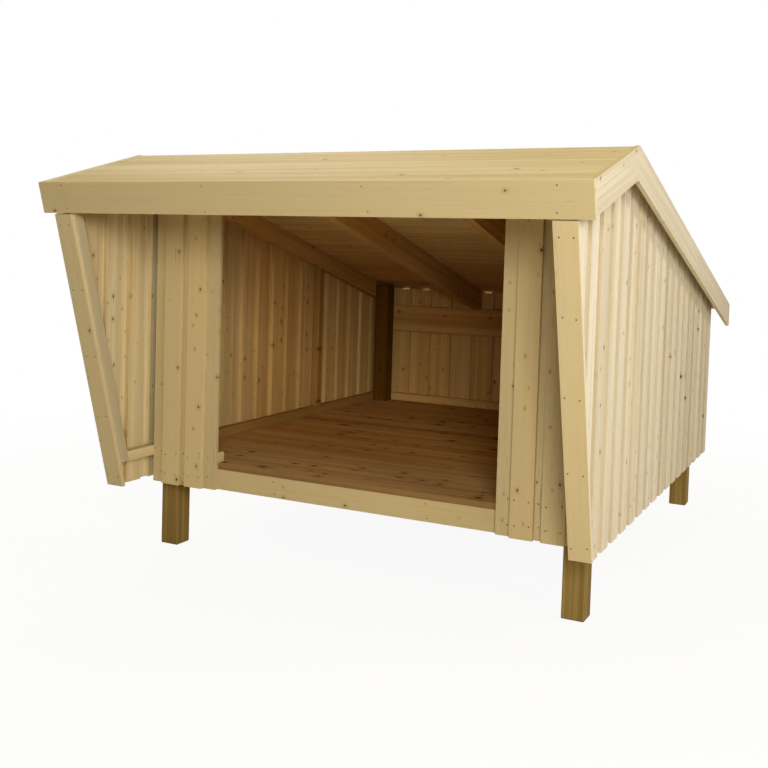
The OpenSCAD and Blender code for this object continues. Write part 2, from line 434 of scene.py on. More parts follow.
    # Painted shade: the floor's edge that looks to the front
    floor_edge_pale: FloatVectorProperty(
        name="Floor edge, pale",
        description="Sapwood of the floor's front edge",
        default=(0.29, 0.17, 0.062),
        subtype="COLOR",
        min=0.0,
        max=1.0,
    )
    floor_edge_warm: FloatVectorProperty(
        name="Floor edge, warm",
        description="Summer wood of the floor's front edge",
        default=(0.22, 0.12, 0.04),
        subtype="COLOR",
        min=0.0,
        max=1.0,
    )
    post_pale: FloatVectorProperty(
        name="Posts, pale",
        description="Sapwood of the treated posts",
        default=(0.345, 0.235, 0.075),
        subtype="COLOR",
        min=0.0,
        max=1.0,
    )
    post_warm: FloatVectorProperty(
        name="Posts, warm",
        description="Summer wood of the treated posts",
        default=(0.215, 0.135, 0.036),
        subtype="COLOR",
        min=0.0,
        max=1.0,
    )
    # Painted shade: what the posts turn to over the floor, inside the shelter
    post_top_pale: FloatVectorProperty(
        name="Posts' tops, pale",
        description="Sapwood of the posts inside the shelter",
        default=(0.17, 0.078, 0.008),
        subtype="COLOR",
        min=0.0,
        max=1.0,
    )
    post_top_warm: FloatVectorProperty(
        name="Posts' tops, warm",
        description="Summer wood of the posts inside the shelter",
        default=(0.12, 0.05, 0.004),
        subtype="COLOR",
        min=0.0,
        max=1.0,
    )
    knot: FloatVectorProperty(
        name="Knots",
        description="Heart of a knot",
        default=(0.075, 0.038, 0.012),
        subtype="COLOR",
        min=0.0,
        max=1.0,
    )
    zinc: FloatVectorProperty(
        name="Nails",
        description="Zinc of the nails",
        default=(0.5, 0.47, 0.42),
        subtype="COLOR",
        min=0.0,
        max=1.0,
    )
    steel: FloatVectorProperty(
        name="Screws",
        description="Darkened steel of the screws",
        default=(0.06, 0.042, 0.028),
        subtype="COLOR",
        min=0.0,
        max=1.0,
    )


class ShelterStage(bpy.types.PropertyGroup):
    """Camera and light"""

    camera_place: FloatVectorProperty(
        name="Camera place",
        description="Where the photograph was taken from",
        default=(2.06329, -4.76700, 1.42788),
        subtype="TRANSLATION",
        unit="LENGTH",
    )
    camera_turn: FloatVectorProperty(
        name="Camera turn",
        description="The camera's rotation",
        default=(math.radians(87.2557), math.radians(-1.7640), math.radians(25.8306)),
        subtype="EULER",
        unit="ROTATION",
    )
    lens: FloatProperty(
        name="Lens",
        description="Focal length on a 36 mm sensor, in millimetres",
        default=47.0727,
    )
    shift_x: FloatProperty(
        name="Shift X",
        description="Sideways shift of the camera's frame",
        default=-0.02494,
    )
    shift_y: FloatProperty(
        name="Shift Y",
        description="Upward shift of the camera's frame",
        default=-0.10581,
    )
    front_light: FloatProperty(
        name="Front light",
        description="Power of the soft light at the right of the camera, in watts",
        default=234.0,
    )
    side_light: FloatProperty(
        name="Side light",
        description="Power of the soft light further to the right, in watts",
        default=145.0,
    )
    wall_light: FloatProperty(
        name="Wall light",
        description="Power of the soft light beside the right wall, in watts",
        default=112.0,
    )
    top_light: FloatProperty(
        name="Top light",
        description="Power of the large soft light overhead, in watts",
        default=130.0,
    )
    back_light: FloatProperty(
        name="Back light",
        description="Power of the large soft light behind the left corner, in watts",
        default=430.0,
    )
    sky: FloatProperty(
        name="Sky",
        description="Strength of the even light from all round",
        default=0.05,
    )
    floor_size: FloatProperty(
        name="Floor size",
        description="Width of the pale floor",
        default=40.0,
        unit="LENGTH",
    )


def sizes():
    """The small sizes of this scene."""
    return bpy.context.scene.shelter_sizes


def colours():
    """The colours of this scene."""
    return bpy.context.scene.shelter_colours


# Shader helpers: the first fills a socket, the others add nodes and return the socket they put out.


def put(tree, socket, value):
    """Links a socket into another, or sets a plain value on it."""
    if isinstance(value, bpy.types.NodeSocket):
        tree.links.new(value, socket)
    else:
        socket.default_value = value


def sums(tree, operation, first, second=0.0, clamp=False):
    """Arithmetic on two values."""
    node = tree.nodes.new("ShaderNodeMath")
    node.operation = operation
    node.use_clamp = clamp
    put(tree, node.inputs[0], first)
    put(tree, node.inputs[1], second)
    return node.outputs[0]


def stretch(tree, vector, factors):
    """A vector scaled along each axis."""
    node = tree.nodes.new("ShaderNodeVectorMath")
    node.operation = "MULTIPLY"
    put(tree, node.inputs[0], vector)
    node.inputs[1].default_value = factors
    return node.outputs[0]


def noise(tree, vector, scale, detail):
    """Smooth noise from 0 to 1."""
    node = tree.nodes.new("ShaderNodeTexNoise")
    put(tree, node.inputs["Vector"], vector)
    node.inputs["Scale"].default_value = scale
    node.inputs["Detail"].default_value = detail
    return node.outputs["Fac"]


def fade(tree, value, start, end, low=0.0, high=1.0):
    """A value mapped smoothly from one range to another."""
    node = tree.nodes.new("ShaderNodeMapRange")
    node.interpolation_type = "SMOOTHSTEP"
    put(tree, node.inputs["Value"], value)
    put(tree, node.inputs["From Min"], start)
    put(tree, node.inputs["From Max"], end)
    node.inputs["To Min"].default_value = low
    node.inputs["To Max"].default_value = high
    return node.outputs["Result"]


def blend(tree, factor, first, second, mode="MIX"):
    """Two colours mixed by a factor."""
    node = tree.nodes.new("ShaderNodeMix")
    node.data_type = "RGBA"
    node.blend_type = mode
    put(tree, node.inputs["Factor"], factor)
    put(tree, node.inputs["A"], first)
    put(tree, node.inputs["B"], second)
    return node.outputs["Result"]


def grey(tree, value):
    """A value as a grey colour."""
    node = tree.nodes.new("ShaderNodeCombineColor")
    for socket in node.inputs:
        put(tree, socket, value)
    return node.outputs["Color"]


def sees_white(tree):
    """1 on rays from the camera and on those that metal or glass sends on, or else 0."""
    rays = tree.nodes.new("ShaderNodeLightPath").outputs
    mirrored = sums(tree, "MAXIMUM", rays["Is Glossy Ray"], rays["Is Transmission Ray"])
    return sums(tree, "MAXIMUM", rays["Is Camera Ray"], mirrored)


def timber_group():
    """Grain, streaks and knots of a sawn timber, on its own grain coordinates in metres."""
    tree = bpy.data.node_groups.get("Timber")
    if tree:
        return tree
    tree = bpy.data.node_groups.new("Timber", "ShaderNodeTree")
    for label, kind in (
        ("Grain", "NodeSocketVector"),
        ("Tone", "NodeSocketFloat"),
        ("Warmth", "NodeSocketFloat"),
        ("Pale", "NodeSocketColor"),
        ("Warm", "NodeSocketColor"),
        ("Knot", "NodeSocketColor"),
        ("Knot Share", "NodeSocketFloat"),
        ("Knot Size", "NodeSocketFloat"),
        ("Contrast", "NodeSocketFloat"),
    ):
        tree.interface.new_socket(label, in_out="INPUT", socket_type=kind)
    for label, kind in (
        ("Color", "NodeSocketColor"),
        ("Roughness", "NodeSocketFloat"),
        ("Height", "NodeSocketFloat"),
    ):
        tree.interface.new_socket(label, in_out="OUTPUT", socket_type=kind)
    given = tree.nodes.new("NodeGroupInput").outputs
    grain = given["Grain"]

    # Year rings round the heart of the log, which lies on the grain's own axis
    wander = noise(tree, stretch(tree, grain, (0.9, 7.0, 7.0)), 1.0, 2.0)
    wander = sums(tree, "MULTIPLY", sums(tree, "SUBTRACT", wander, 0.5), RING_WANDER)
    reach = tree.nodes.new("ShaderNodeVectorMath")
    reach.operation = "LENGTH"
    put(tree, reach.inputs[0], stretch(tree, grain, (0.0, 1.0, 1.0)))
    radius = sums(tree, "ADD", reach.outputs["Value"], wander)
    ring = sums(tree, "FRACT", sums(tree, "DIVIDE", radius, RING_WIDTH))
    late = sums(tree, "POWER", ring, 3.0)

    # Broad and narrow streaks, patches and fine fibres
    broad = fade(tree, noise(tree, stretch(tree, grain, (0.35, 24.0, 24.0)), 1.0, 2.0), 0.34, 0.68)
    narrow = fade(tree, noise(tree, stretch(tree, grain, (1.1, 105.0, 105.0)), 1.0, 2.0), 0.32, 0.70)
    patch = noise(tree, stretch(tree, grain, (1.8, 5.0, 5.0)), 1.0, 2.0)
    fibre = noise(tree, stretch(tree, grain, (18.0, 900.0, 900.0)), 1.0, 2.0)

    # Knots: a few cells of a flat cell pattern, longer along the grain
    cells = tree.nodes.new("ShaderNodeTexVoronoi")
    cells.voronoi_dimensions = "2D"
    put(tree, cells.inputs["Vector"], stretch(tree, grain, (0.72, 1.0, 0.0)))
    cells.inputs["Scale"].default_value = 1.0 / KNOT_SPACING
    draw = tree.nodes.new("ShaderNodeSeparateColor")
    put(tree, draw.inputs["Color"], cells.outputs["Color"])
    kept = sums(tree, "LESS_THAN", draw.outputs["Red"], given["Knot Share"])
    girth = sums(tree, "MULTIPLY", draw.outputs["Green"], draw.outputs["Green"])
    girth = sums(tree, "MULTIPLY_ADD", girth, KNOT_SPREAD)
    girth.node.inputs[2].default_value = SMALLEST_KNOT
    girth = sums(tree, "MULTIPLY", girth, given["Knot Size"])
    ragged = noise(tree, stretch(tree, grain, (60.0, 90.0, 90.0)), 1.0, 1.0)
    away = sums(tree, "MULTIPLY_ADD", ragged, 0.05)
    put(tree, away.node.inputs[2], cells.outputs["Distance"])
    heart = fade(tree, away, sums(tree, "MULTIPLY", girth, 1.15), sums(tree, "MULTIPLY", girth, 0.6))
    halo = fade(tree, away, sums(tree, "MULTIPLY", girth, 3.2), girth)
    heart = sums(tree, "MULTIPLY", heart, kept)
    halo = sums(tree, "MULTIPLY", halo, kept)

    # Checks: short dark splits along the grain
    split = noise(tree, stretch(tree, grain, (7.0, 260.0, 260.0)), 1.0, 1.0)
    rare = noise(tree, stretch(tree, grain, (2.3, 9.0, 9.0)), 1.0, 1.0)
    split = sums(tree, "MULTIPLY", fade(tree, split, 0.66, 0.76), fade(tree, rare, 0.52, 0.64))

    # Colour: pale wood warmed by streaks, rings and the timber's own warmth, then splits and knots
    drift = sums(tree, "ADD", sums(tree, "MULTIPLY", broad, 0.45), sums(tree, "MULTIPLY", narrow, 0.30))
    drift = sums(tree, "ADD", drift, sums(tree, "MULTIPLY", late, 0.12))
    drift = sums(tree, "ADD", drift, sums(tree, "MULTIPLY", patch, 0.25))
    drift = sums(tree, "MULTIPLY", sums(tree, "SUBTRACT", drift, 0.50), given["Contrast"])
    drift = sums(tree, "ADD", drift, given["Warmth"], clamp=True)
    colour = blend(tree, drift, given["Pale"], given["Warm"])
    shade = sums(tree, "MULTIPLY_ADD", fibre, 0.10)
    put(tree, shade.node.inputs[2], given["Tone"])
    dark = sums(tree, "ADD", sums(tree, "MULTIPLY", narrow, 0.09), sums(tree, "MULTIPLY", broad, 0.07))
    shade = sums(tree, "SUBTRACT", shade, dark)
    colour = blend(tree, 1.0, colour, grey(tree, shade), "MULTIPLY")
    colour = blend(tree, sums(tree, "MULTIPLY", halo, 0.30), colour, given["Warm"], "MULTIPLY")
    colour = blend(tree, sums(tree, "MULTIPLY", split, 0.45), colour, given["Knot"])
    colour = blend(tree, sums(tree, "MULTIPLY", heart, 0.92), colour, given["Knot"])

    rough = sums(tree, "MULTIPLY_ADD", late, -0.10)
    rough.node.inputs[2].default_value = 0.66
    height = sums(tree, "ADD", sums(tree, "MULTIPLY", late, 0.4), sums(tree, "MULTIPLY", fibre, 0.6))
    height = sums(tree, "SUBTRACT", height, sums(tree, "MULTIPLY", heart, 0.5))
    height = sums(tree, "SUBTRACT", height, sums(tree, "MULTIPLY", split, 0.8))

    out = tree.nodes.new("NodeGroupOutput").inputs
    put(tree, out["Color"], colour)
    put(tree, out["Roughness"], rough)
    put(tree, out["Height"], height)
    return tree


def read(tree, name, output):
    """A value that the mesh carries under a name."""
    node = tree.nodes.new("ShaderNodeAttribute")
    node.attribute_name = name
    return node.outputs[output]


def along(tree, axis, start, end):
    """How far a point lies between two places on an axis, from 0 to 1."""
    place = tree.nodes.new("ShaderNodeSeparateXYZ")
    put(tree, place.inputs["Vector"], tree.nodes.new("ShaderNodeTexCoord").outputs["Object"])
    return fade(tree, place.outputs[axis], start, end)


def tones(name):
    """The pale and the warm tone of a finish."""
    return [(*getattr(colours(), f"{name}_{tone}"), 1.0) for tone in ("pale", "warm")]


def timber_material(
    name, near, deep=None, shade=INSIDE_SHADE, knots=0.22, knot_size=1.0, contrast=0.8, relief=0.12
):
    """A wood finish with two tones, and two more that it may turn to where shade is painted on."""
    material = bpy.data.materials.get(name)
    if material:
        return material
    material = bpy.data.materials.new(name)
    material.use_nodes = True
    tree = material.node_tree
    shader = tree.nodes["Principled BSDF"]
    wood = tree.nodes.new("ShaderNodeGroup")
    wood.node_tree = timber_group()
    put(tree, wood.inputs["Grain"], read(tree, "grain", "Vector"))
    put(tree, wood.inputs["Tone"], read(tree, "tone", "Fac"))
    put(tree, wood.inputs["Warmth"], read(tree, "warmth", "Fac"))
    # Painted shade: how far the colour turns to the shaded tones, by the place along an axis
    share = along(tree, *shade) if deep else 0.0
    for index, socket in enumerate((wood.inputs["Pale"], wood.inputs["Warm"])):
        put(tree, socket, blend(tree, share, near[index], deep[index]) if deep else near[index])
    wood.inputs["Knot"].default_value = (*colours().knot, 1.0)
    put(tree, wood.inputs["Knot Share"], sums(tree, "MULTIPLY", read(tree, "knots", "Fac"), knots))
    wood.inputs["Knot Size"].default_value = knot_size
    wood.inputs["Contrast"].default_value = contrast
    bump = tree.nodes.new("ShaderNodeBump")
    bump.inputs["Strength"].default_value = relief
    bump.inputs["Distance"].default_value = RELIEF_DEPTH
    put(tree, bump.inputs["Height"], wood.outputs["Height"])
    put(tree, shader.inputs["Base Color"], wood.outputs["Color"])
    put(tree, shader.inputs["Roughness"], wood.outputs["Roughness"])
    put(tree, shader.inputs["Normal"], bump.outputs["Normal"])
    shader.inputs["Specular IOR Level"].default_value = GLOSS
    return material


def metal_material(name, bright):
    """Dull metal of the fixings, darker in blotches."""
    material = bpy.data.materials.get(name)
    if material:
        return material
    material = bpy.data.materials.new(name)
    material.use_nodes = True
    tree = material.node_tree
    shader = tree.nodes["Principled BSDF"]
    place = tree.nodes.new("ShaderNodeTexCoord").outputs["Object"]
    blotch = noise(tree, place, 260.0, 2.0)
    dark = tuple(0.5 * part for part in bright)
    colour = blend(tree, fade(tree, blotch, 0.35, 0.7), (*bright, 1.0), (*dark, 1.0))
    put(tree, shader.inputs["Base Color"], colour)
    put(tree, shader.inputs["Roughness"], fade(tree, blotch, 0.2, 0.8, 0.45, 0.7))
    shader.inputs["Metallic"].default_value = 0.3
    return material


# Finishes: each gives the material of a face.


def lit_side_finish(face):
    """Outside of the walls and other faces that look sideways or back: a paler copy of the spruce, a
    painted highlight for the light on the sides.
    """
    return timber_material("spruce_walls", tones("wall"), knots=0.30)


def wall_edge_finish(face):
    """Edges of the walls' outer boards: a copy between the paler sides and the darker front, painted for
    the light on edges that look to the front.
    """
    return timber_material("spruce_wall_edges", tones("wall_edge"))


def shaded_front_finish(face):
    """Boards and timbers that look to the front: a darker, yellower copy of the spruce, painted shade
    for the front.
    """
    return timber_material("spruce_front", tones("front"), knots=0.46, contrast=0.6)


def roof_finish(face):
    """Top of the roof and other faces that look up: a lit copy of the spruce, painted for the light from
    above.
    """
    return timber_material("spruce_roof", tones("roof"), contrast=1.2)


def inside_finish(face):
    """Inside of the walls: a warmer copy of the spruce, with painted shade that deepens further in."""
    return timber_material("spruce_inside", tones("inside"), tones("deep"), knots=0.46)


def ceiling_finish(face):
    """Underside of the roof boards: a warm copy of the spruce, with painted shade that deepens further
    back.
    """
    return timber_material(
        "spruce_ceiling", tones("ceiling"), tones("deep"), shade=ROOF_SHADE, knots=0.46
    )


def edge_finish(face):
    """Edges of the inner boards, seen in the gaps from inside: a copy of the spruce tuned to the light
    on the edges, with painted shade further in.
    """
    return timber_material("spruce_edges", tones("edge"), tones("edge_deep"))


def rail_finish(face):
    """Rails and studs of the side walls, with painted shade behind the panels."""
    return timber_material("spruce_rails", tones("inside"), tones("rail"), shade=RAIL_SHADE)


def rafter_finish(face):
    """Rafters, with painted shade towards the back that makes them as dark as the floor there."""
    return timber_material("spruce_rafters", tones("deep"), tones("floor_deep"), shade=ROOF_SHADE)


def floor_finish(face):
    """Floor boards, with painted shade on the edge that looks to the front and further in."""
    if face.normal.dot(FRONT) > LOOKS:
        return timber_material("spruce_floor_edge", tones("floor_edge"))
    return timber_material(
        "spruce_floor", tones("floor"), tones("floor_deep"), knots=0.24, knot_size=2.6, contrast=1.2
    )


def post_finish(face):
    """Treated posts, with painted shade over the floor."""
    return timber_material(
        "treated_timber", tones("post"), tones("post_top"), shade=POST_SHADE, contrast=1.3, relief=0.2
    )


def at_corner(face):
    """Whether a board's edge shows from outside at a back corner."""
    place = face.calc_center_median()
    sideways = abs(face.normal.x) > SIDEWAYS and abs(place.x) > CORNER_X
    return sideways or (face.normal.y > SIDEWAYS and place.y > CORNER_Y)


def facing(inward=None, edges=None, inside=inside_finish):
    """Lit and shaded copies of the spruce, picked by the way that a face looks: in, up, to the front or
    out, or on a board's edge.
    """
    def finish(face):
        normal = face.normal
        inner = normal.dot(inward) if inward is not None else -1.0
        if inner > SIDEWAYS:
            return inside(face)
        if edges and inner > -SIDEWAYS and not at_corner(face):
            return edges(face)
        if normal.dot(UP) > LOOKS:
            return roof_finish(face)
        if normal.dot(FRONT) > LOOKS:
            return shaded_front_finish(face)
        return lit_side_finish(face)
    return finish


def node_bmesh(name):
    """A copy of a node's solids with whole faces in place of loose triangles."""
    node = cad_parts[name]
    bm = bmesh.new()
    bm.from_mesh(node.data)
    bm.transform(node.matrix_world)
    bmesh.ops.remove_doubles(bm, verts=bm.verts[:], dist=MERGE)
    bmesh.ops.dissolve_limit(
        bm,
        angle_limit=FLAT_ANGLE,
        use_dissolve_boundaries=False,
        verts=bm.verts[:],
        edges=bm.edges[:],
    )
    return bm


def islands(bm):
    """The separate timbers of a mesh, each as a list of vertices."""
    left = set(bm.verts)
    found = []
    while left:
        group, edge = [], [left.pop()]
        while edge:
            vert = edge.pop()
            group.append(vert)
            for link in vert.link_edges:
                other = link.other_vert(vert)
                if other in left:
                    left.remove(other)
                    edge.append(other)
        found.append(group)
    found.sort(key=lambda group: tuple(round(c, 4) for c in min(v.co[:] for v in group)))
    return found


def grain_axes(bm):
    """Directions along the grain, across the widest face and through the timber."""
    longest = max(bm.edges, key=lambda edge: edge.calc_length())
    lengthwise = (longest.verts[1].co - longest.verts[0].co).normalized()
    if lengthwise[max(range(3), key=lambda axis: abs(lengthwise[axis]))] < 0.0:
        lengthwise.negate()
    sides = [face for face in bm.faces if abs(face.normal.dot(lengthwise)) < ALONG_GRAIN]
    through = max(sides, key=lambda face: face.calc_area()).normal.copy()
    return lengthwise, through.cross(lengthwise), through


def mark_grain(bm, axes, draw, heat, knotty):
    """Gives each timber its own piece of a log, tone, warmth and share of knots."""
    grain = bm.verts.layers.float_vector.new("grain")
    tone = bm.verts.layers.float.new("tone")
    warmth = bm.verts.layers.float.new("warmth")
    knots = bm.verts.layers.float.new("knots")
    for group in islands(bm):
        heart = sum((vert.co for vert in group), Vector()) / len(group)
        log = Vector([draw.uniform(*span) for span in LOG_PLACES])
        level = draw.uniform(*TONE_RANGE)
        own = draw.uniform(*heat)
        share = draw.uniform(*KNOT_RANGE) * knotty
        for vert in group:
            local = Vector([(vert.co - heart).dot(axis) for axis in axes])
            vert[grain] = local + log
            vert[tone] = level
            vert[warmth] = own
            vert[knots] = share


def new_piece(name, bm, materials):
    """Makes an object at the origin from a bmesh and frees the bmesh."""
    mesh = bpy.data.meshes.new(name)
    bm.to_mesh(mesh)
    bm.free()
    for material in materials:
        mesh.materials.append(material)
    piece = bpy.data.objects.new(name, mesh)
    bpy.context.scene.collection.objects.link(piece)
    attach(piece, BODY)
    return piece


def dress(node, rounding, finish, heat=(0.3, 0.9), knotty=1.0):
    """Replaces a node with the same timbers, with rounded edges and a finish for each face.

    heat is the range of the timbers' warmth, and knotty scales how many knots they have.
    """
    bm = node_bmesh(node)
    axes = grain_axes(bm)
    bmesh.ops.bevel(
        bm,
        geom=bm.edges[:],
        offset=rounding,
        segments=sizes().round_steps,
        profile=0.5,
        affect="EDGES",
        clamp_overlap=True,
        material=-1,
    )
    mark_grain(bm, axes, random.Random(node), heat, knotty)
    materials = []
    for face in bm.faces:
        material = finish(face)
        if material not in materials:
            materials.append(material)
        face.material_index = materials.index(material)
    piece = new_piece(node + "_wood", bm, materials)
    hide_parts(node)


def middles(node):
    """The middle of each timber of a node."""
    bm = node_bmesh(node)
    found = []
    for group in islands(bm):
        low = Vector([min(vert.co[axis] for vert in group) for axis in range(3)])
        high = Vector([max(vert.co[axis] for vert in group) for axis in range(3)])
        found.append((low + high) / 2)
    bm.free()
    return found


def middle(node):
    """The middle of a node's box."""
    low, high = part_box(node)
    return (low + high) / 2


def fixing_spots(node, outward, lines, paired=True):
    """Places and directions of fixings: one or two on each line that crosses a board.

    lines gives the distances along a board, from its lowest and highest full width.
    """
    bm = node_bmesh(node)
    grain = grain_axes(bm)[0]
    edge = sizes().edge_distance
    stray = sizes().fixing_stray
    draw = random.Random(node)
    spots = []
    for group in islands(bm):
        faces = {face for vert in group for face in vert.link_faces}
        show = max(faces, key=lambda face: face.normal.dot(outward) * face.calc_area())
        across = show.normal.cross(grain)
        runs = [vert.co.dot(grain) for vert in show.verts]
        half = (min(runs) + max(runs)) / 2
        low = max(run for run in runs if run <= half)
        high = min(run for run in runs if run > half)
        sides = [vert.co.dot(across) for vert in show.verts]
        left, right = min(sides), max(sides)
        rows = [(left + right) / 2]
        if paired and right - left > 3 * edge:
            rows = [left + edge, right - edge]
        level = show.normal * show.verts[0].co.dot(show.normal)
        for run in lines(low, high):
            if low + edge < run < high - edge:
                for row in rows:
                    place = grain * (run + draw.uniform(-stray, stray))
                    place += across * (row + draw.uniform(-stray, stray) / 2)
                    spots.append((place + level, show.normal.copy()))
    bm.free()
    return spots


def at(*runs):
    """Lines at fixed distances."""
    return lambda low, high: runs


def foot_and_top(foot):
    """Lines at a rail near the foot and under the top."""
    return lambda low, high: (foot, high - TOP_NAIL)


def spaced(step):
    """Lines about a step apart, kept off the ends."""
    def lines(low, high):
        count = max(round((high - low) / step), 1)
        gap = (high - low - 2 * END_MARGIN) / count
        return [low + END_MARGIN + gap * index for index in range(count + 1)]
    return lines


def fixing_heads(name, spots, radius, sides, dish, material):
    """One piece of many heads: a low cone with a dished top, stood on each spot.

    dish is the depth of the top's hollow, as a share of the head's height.
    """
    bm = bmesh.new()
    height = radius * HEAD_HEIGHT
    for place, normal in spots:
        turn = normal.to_track_quat("Z", "Y").to_matrix().to_4x4()
        made = bmesh.ops.create_cone(
            bm,
            cap_ends=True,
            segments=sides,
            radius1=radius,
            radius2=radius * HEAD_TOP,
            depth=height,
            matrix=Matrix.Translation(place + normal * height * HEAD_LIFT) @ turn,
        )
        top = max(
            {face for vert in made["verts"] for face in vert.link_faces},
            key=lambda face: face.normal.dot(normal) * len(face.verts),
        )
        bmesh.ops.inset_region(bm, faces=[top], thickness=radius * HEAD_RIM, depth=-height * dish)
    new_piece(name, bm, [material])


class SHELTER_OT_posts(bpy.types.Operator):
    """Dress the four treated posts"""

    bl_idname = "shelter.posts"
    bl_label = "Posts"

    def execute(self, context):
        for node in POSTS:
            dress(node, sizes().post_round, post_finish)
        return {"FINISHED"}


class SHELTER_OT_floor(bpy.types.Operator):
    """Dress the floor boards, the beams and the joists"""

    bl_idname = "shelter.floor"
    bl_label = "Floor"

    def execute(self, context):
        edge = sizes().timber_round
        dress("floor_boards", sizes().floor_round, floor_finish, heat=(0.2, 0.8))
        dress("front_floor_beam", edge, shaded_front_finish, heat=(0.4, 0.8), knotty=0.4)
        dress("back_floor_beam", edge, inside_finish)
        dress("floor_joists", edge, inside_finish)
        return {"FINISHED"}


class SHELTER_OT_framing(bpy.types.Operator):
    """Dress the studs and the rails of the walls"""

    bl_idname = "shelter.framing"
    bl_label = "Wall framing"

    def execute(self, context):
        edge = sizes().timber_round
        for side in LEFT_RIGHT:
            dress(f"{side}_raked_stud", edge, shaded_front_finish, heat=(0.1, 0.4), knotty=0.4)
            # The panel rail takes the edges' copy at its warmest, painted shade where its end shows
            # beside the panel
            dress(f"{side}_panel_rail", edge, edge_finish, heat=(0.8, 1.0))
            dress(f"{side}_bottom_rail", edge, rail_finish, heat=(0.8, 1.0))
            dress(f"{side}_middle_stud", edge, rail_finish, heat=(0.6, 1.0))
        dress("back_top_rail", edge, rafter_finish, heat=(0.2, 0.4))
        # The strip draws the warmest tones, painted shade for the line under the top rail
        dress("back_strip", edge, inside_finish, heat=(0.9, 1.0))
        dress("back_bottom_rail", edge, inside_finish)
        return {"FINISHED"}


class SHELTER_OT_rafters(bpy.types.Operator):
    """Dress the header and the rafters"""

    bl_idname = "shelter.rafters"
    bl_label = "Rafters"

    def execute(self, context):
        for node in ROOF_TIMBERS:
            dress(node, sizes().timber_round, rafter_finish, heat=(0.4, 0.8))
        return {"FINISHED"}


class SHELTER_OT_walls(bpy.types.Operator):
    """Dress the two layers of boards of the side walls and the back wall"""

    bl_idname = "shelter.walls"
    bl_label = "Wall boards"

    def execute(self, context):
        edge = sizes().board_round
        for wall, outward in OUTWARD.items():
            inner = facing(-outward, edge_finish)
            # The inner boards draw warmer tones than the outer ones, a touch of painted shade for the
            # recess between them
            dress(f"{wall}_wall_inner_boards", edge, inner, heat=(0.2, 0.8))
            outer = facing(-outward, wall_edge_finish)
            dress(f"{wall}_wall_outer_boards", edge, outer, heat=(0.0, 0.6))
        return {"FINISHED"}


class SHELTER_OT_front(bpy.types.Operator):
    """Dress the front panels and the raked trims"""

    bl_idname = "shelter.front"
    bl_label = "Front boards"

    def execute(self, context):
        edge = sizes().board_round
        panel = facing(BACK, shaded_front_finish)
        for side in LEFT_RIGHT:
            dress(f"{side}_panel_inner_boards", edge, panel, heat=(0.4, 0.8))
            dress(f"{side}_panel_outer_boards", edge, panel, heat=(0.4, 0.8))
            trim = facing(-OUTWARD[side])
            dress(f"{side}_front_trim", edge, trim, heat=(0.1, 0.4), knotty=0.4)
        return {"FINISHED"}


class SHELTER_OT_roof(bpy.types.Operator):
    """Dress the roof boards, the fascia and the bargeboards"""

    bl_idname = "shelter.roof"
    bl_label = "Roof"

    def execute(self, context):
        edge = sizes().board_round
        for node in ROOF_BOARDS:
            dress(node, edge, facing(DOWN, inside=ceiling_finish), heat=(0.1, 0.7))
        for side in LEFT_RIGHT:
            for end in ("front", "rear"):
                dress(f"{side}_{end}_bargeboard", edge, facing(), heat=(0.5, 0.8), knotty=0.6)
        dress("fascia", edge, facing(), heat=(0.1, 0.4), knotty=0.3)
        return {"FINISHED"}


class SHELTER_OT_nails(bpy.types.Operator):
    """Nail the boards of the walls, the roof and the floor to the timbers behind them"""

    bl_idname = "shelter.nails"
    bl_label = "Nails"

    def execute(self, context):
        rafters = [point.x for point in middles("rear_rafters")]
        rafters += [middle(f"{side}_side_rafter_rear").x for side in LEFT_RIGHT]
        joists = [point.x for point in middles("floor_joists")]
        spots = []
        for node in ROOF_BOARDS:
            spots += fixing_spots(node, UP, at(*rafters))
        spots += fixing_spots("floor_boards", UP, at(*joists))
        for side in LEFT_RIGHT:
            lines = foot_and_top(middle(f"{side}_bottom_rail").z)
            spots += fixing_spots(f"{side}_wall_outer_boards", OUTWARD[side], lines)
            spots += fixing_spots(f"{side}_wall_inner_boards", OUTWARD[side], lines, paired=False)
            for end in ("front", "rear"):
                spots += fixing_spots(f"{side}_{end}_bargeboard", OUTWARD[side], spaced(BARGEBOARD_STEP))
        rails = at(middle("back_bottom_rail").z, middle("back_top_rail").z)
        spots += fixing_spots("back_wall_outer_boards", BACK, rails)
        spots += fixing_spots("back_wall_inner_boards", BACK, rails, paired=False)
        zinc = metal_material("zinc", colours().zinc)
        fixing_heads("nails", spots, sizes().nail_radius, sides=8, dish=0.3, material=zinc)
        return {"FINISHED"}


class SHELTER_OT_screws(bpy.types.Operator):
    """Screw the front boards, the fascia, the trims and the front beam"""

    bl_idname = "shelter.screws"
    bl_label = "Screws"

    def execute(self, context):
        rafters = [point.x for point in middles("front_rafters")]
        rafters += [middle(f"{side}_side_rafter_front").x for side in LEFT_RIGHT]
        joists = [point.x for point in middles("floor_joists") if abs(point.x) < BEAM_SCREW_REACH]
        spots = fixing_spots("fascia", FRONT, at(*rafters))
        spots += fixing_spots("front_floor_beam", FRONT, at(*joists))
        for side in LEFT_RIGHT:
            behind = ("front_floor_beam", f"{side}_panel_rail", "front_header")
            rails = at(*[middle(node).z for node in behind])
            spots += fixing_spots(f"{side}_panel_outer_boards", FRONT, rails)
            spots += fixing_spots(f"{side}_panel_inner_boards", FRONT, rails, paired=False)
            spots += fixing_spots(f"{side}_front_trim", FRONT, spaced(TRIM_STEP))
        steel = metal_material("steel", colours().steel)
        fixing_heads("screws", spots, sizes().screw_radius, sides=12, dish=0.8, material=steel)
        return {"FINISHED"}


